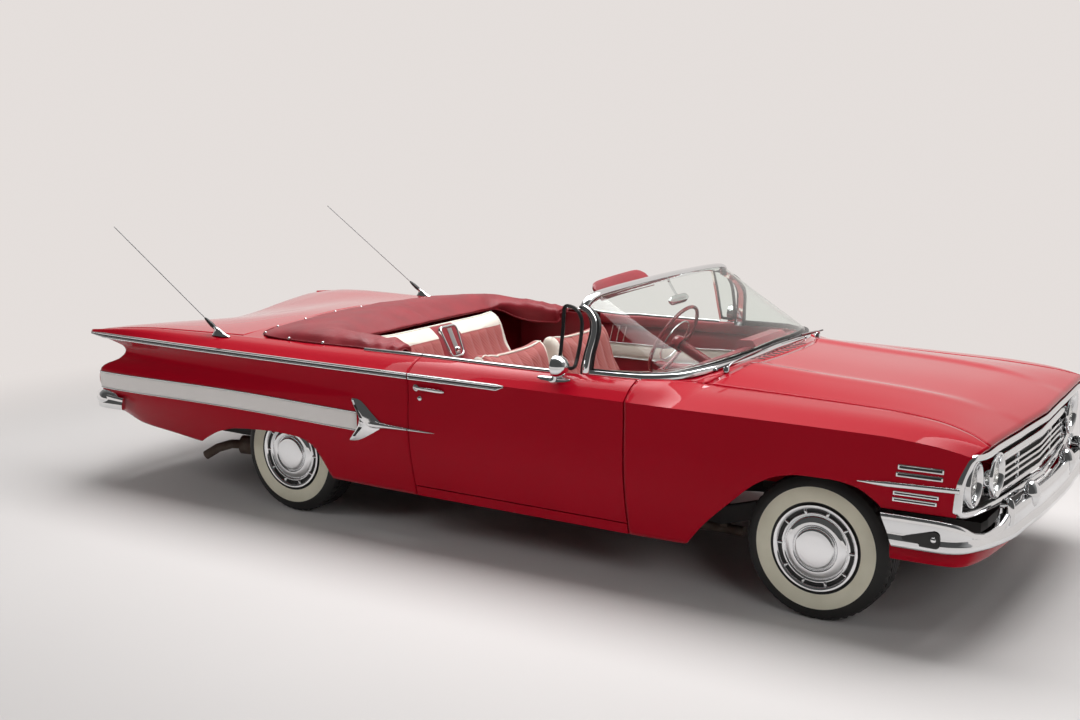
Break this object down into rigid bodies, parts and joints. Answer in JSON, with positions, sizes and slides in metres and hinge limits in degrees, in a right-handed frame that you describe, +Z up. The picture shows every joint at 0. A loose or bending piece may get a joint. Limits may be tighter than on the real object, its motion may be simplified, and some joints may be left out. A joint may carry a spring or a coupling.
{
  "type": "convertible car",
  "caption": "Full-size convertible of about 1960 with its top down, wide flat wings at the tail, paired round lamps, opening doors, hood and trunk lid, and steered, rolling wheels.",
  "frame": {"origin": "ground level midway along the car, on its centre plane", "axes": "+X forward to the front bumper, +Y to the car's left, +Z up"},
  "size_m": [5.354, 2.048, 1.5051],
  "materials": {
    "paint": "gloss",
    "chrome": "polished",
    "tyre": "matte",
    "glass": "clear",
    "lens_red": "clear",
    "lamp_glass": "clear",
    "cloth": "woven",
    "vinyl_red": "semi-gloss",
    "dark_steel": "satin",
    "bare_steel": "rough",
    "aluminium": "satin",
    "trim_red": "semi-gloss",
    "carpet": "pile"
  },
  "bodies": {
    "body": {"antennas": "chrome", "aprons": "dark_steel", "cabin_mirror": "chrome", "cowl": "paint", "dashboard": "trim_red", "deck_filler": "paint", "driveline": "bare_steel", "engine": "bare_steel", "exhaust": "bare_steel", "fender_left": "paint", "fender_right": "paint", "floor": "carpet", "frame": "dark_steel", "front_bumper": "chrome", "front_seat": "cloth", "front_suspension": "bare_steel", "front_valance": "paint", "fuel_tank": "dark_steel", "grille": "chrome", "headlamps": "lamp_glass", "quarter_left": "paint", "quarter_right": "paint", "radiator": "aluminium", "rear_axle": "bare_steel", "rear_bumper": "chrome", "rear_seat": "cloth", "rockers": "paint", "side_panels": "vinyl_red", "steering_column": "trim_red", "sun_visors": "vinyl_red", "tail_lamps": "lens_red", "tail_panel": "paint", "top_boot": "vinyl_red", "wheelhouses": "dark_steel", "windshield_frame": "chrome", "windshield_glass": "glass"},
    "hood": {"hood": "paint"},
    "trunk_lid": {"trunk_lid": "paint"},
    "door_left": {"door_left": "paint", "vent_frame_left": "chrome", "vent_glass_left": "glass", "door_mirror_left": "chrome"},
    "door_right": {"door_right": "paint", "vent_frame_right": "chrome", "vent_glass_right": "glass", "door_mirror_right": "chrome"},
    "steering_wheel": {"steering_wheel": "trim_red"},
    "knuckle_left": {"knuckle_left": "bare_steel"},
    "knuckle_right": {"knuckle_right": "bare_steel"},
    "wheel_front_left": {"tyre_front_left": "tyre", "wheel_front_left": "chrome"},
    "wheel_front_right": {"tyre_front_right": "tyre", "wheel_front_right": "chrome"},
    "wheel_rear_left": {"tyre_rear_left": "tyre", "wheel_rear_left": "chrome"},
    "wheel_rear_right": {"tyre_rear_right": "tyre", "wheel_rear_right": "chrome"}
  },
  "joints": [
    {"name": "hood_hinge", "type": "hinge", "parent": "body", "child": "hood", "pos_m": [1.255, 0, 1.032], "axis": [0, -1, 0], "range_deg": [0, 50]},
    {"name": "trunk_hinge", "type": "hinge", "parent": "body", "child": "trunk_lid", "pos_m": [-1.439, 0, 1.012], "axis": [0, 1, 0], "range_deg": [0, 70]},
    {"name": "door_left_hinge", "type": "hinge", "parent": "body", "child": "door_left", "pos_m": [1.002, 1.003, 0.6], "axis": [0, 0, -1], "range_deg": [0, 65]},
    {"name": "door_right_hinge", "type": "hinge", "parent": "body", "child": "door_right", "pos_m": [1.002, -1.003, 0.6], "axis": [0, 0, 1], "range_deg": [0, 65]},
    {"name": "steering_turn", "type": "hinge", "parent": "body", "child": "steering_wheel", "pos_m": [0.54, 0.38, 0.934], "axis": [-0.891, 0, 0.454], "range_deg": [-640, 640]},
    {"name": "steer_left", "type": "hinge", "parent": "body", "child": "knuckle_left", "pos_m": [1.8745, 0.672, 0.328], "axis": [0, 0, 1], "range_deg": [-32, 32]},
    {"name": "wheel_front_left_spin", "type": "hinge", "parent": "knuckle_left", "child": "wheel_front_left", "pos_m": [1.8745, 0.766, 0.328], "axis": [0, 1, 0], "continuous": true},
    {"name": "wheel_rear_left_spin", "type": "hinge", "parent": "body", "child": "wheel_rear_left", "pos_m": [-1.1485, 0.753, 0.328], "axis": [0, 1, 0], "continuous": true},
    {"name": "steer_right", "type": "hinge", "parent": "body", "child": "knuckle_right", "pos_m": [1.8745, -0.672, 0.328], "axis": [0, 0, 1], "range_deg": [-32, 32]},
    {"name": "wheel_front_right_spin", "type": "hinge", "parent": "knuckle_right", "child": "wheel_front_right", "pos_m": [1.8745, -0.766, 0.328], "axis": [0, 1, 0], "continuous": true},
    {"name": "wheel_rear_right_spin", "type": "hinge", "parent": "body", "child": "wheel_rear_right", "pos_m": [-1.1485, -0.753, 0.328], "axis": [0, 1, 0], "continuous": true}
  ],
  "couplings": [
    {"joint": "steer_left", "follows": "steering_turn", "ratio": 0.05},
    {"joint": "steer_right", "follows": "steering_turn", "ratio": 0.05}
  ]
}
